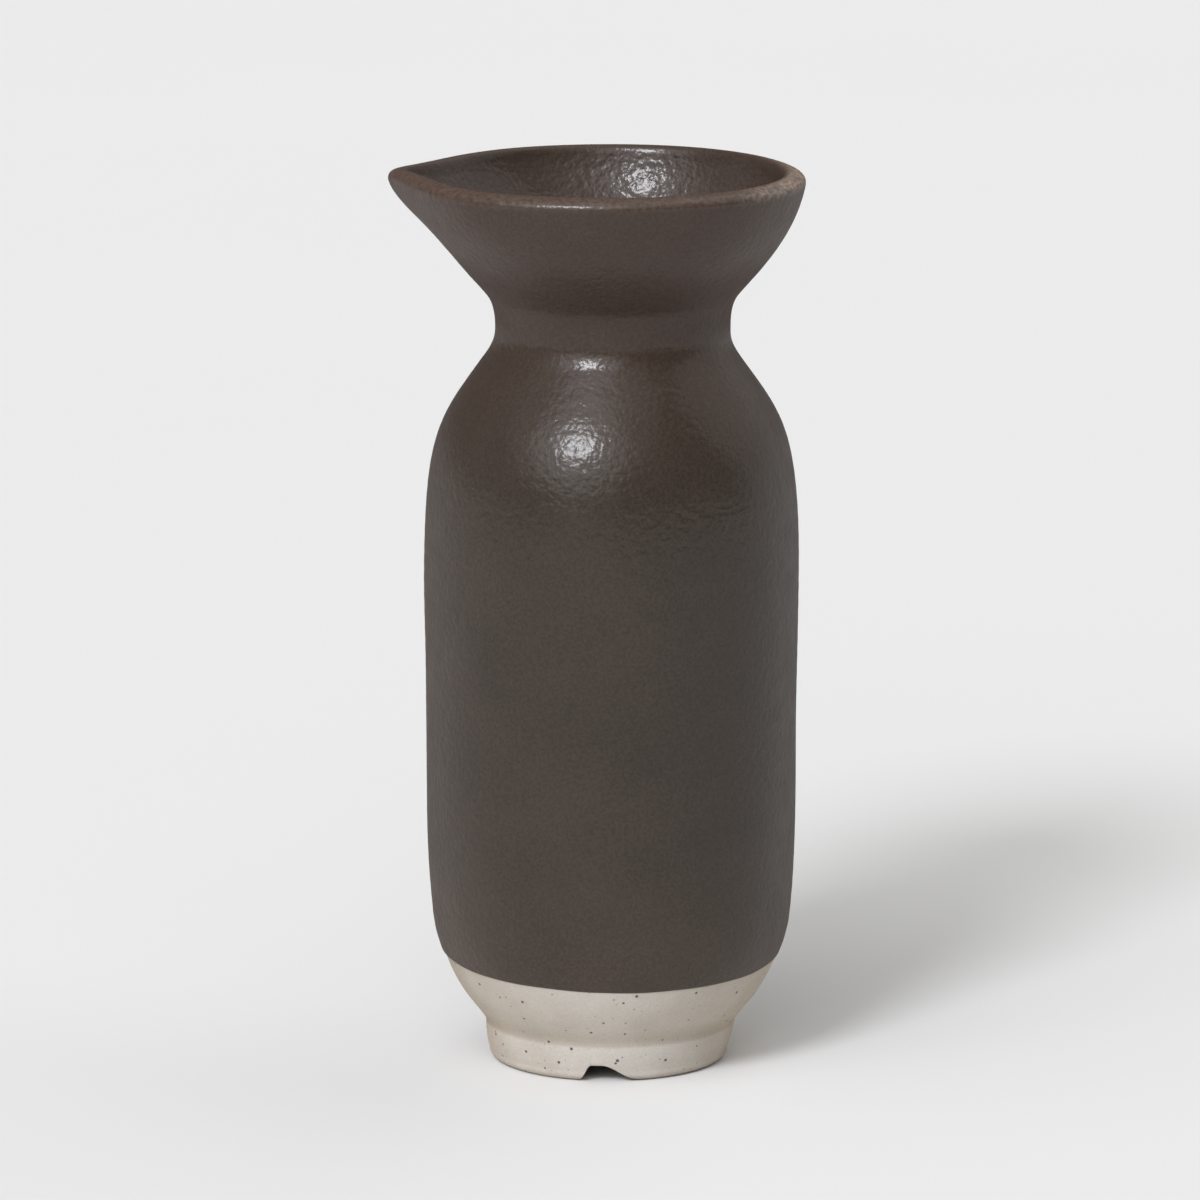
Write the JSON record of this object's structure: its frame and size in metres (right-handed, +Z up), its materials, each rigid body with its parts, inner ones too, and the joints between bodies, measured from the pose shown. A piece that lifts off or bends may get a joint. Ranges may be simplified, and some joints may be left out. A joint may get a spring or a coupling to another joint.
{
  "type": "sake bottle",
  "caption": "Stoneware sake bottle: notched bare-clay foot ring, tall belly, short neck and flared mouth with a pulled pouring lip, dark glaze outside and inside.",
  "frame": {"origin": "on the table, under the middle of the bottle's box; the turned axis is 3.2 mm from it towards +X, because the lip reaches further out than the round rim", "axes": "+Z up along the turned axis; the pouring lip points to -X; the foot ring's notch faces the front, -Y"},
  "size_m": [0.0832, 0.0772, 0.1804],
  "materials": {
    "bare_clay": "matte unglazed pale grey-beige stoneware with fine dark iron specks",
    "brown_glaze": "satin dark brown glaze with a fine orange-peel surface, lighter where it breaks over the rim"
  },
  "bodies": {
    "root": {"foot_ring": "bare_clay", "body_shell": "bare_clay", "neck_collar": "bare_clay", "mouth_funnel": "bare_clay", "outer_glaze": "brown_glaze", "liner_glaze": "brown_glaze"}
  },
  "joints": []
}
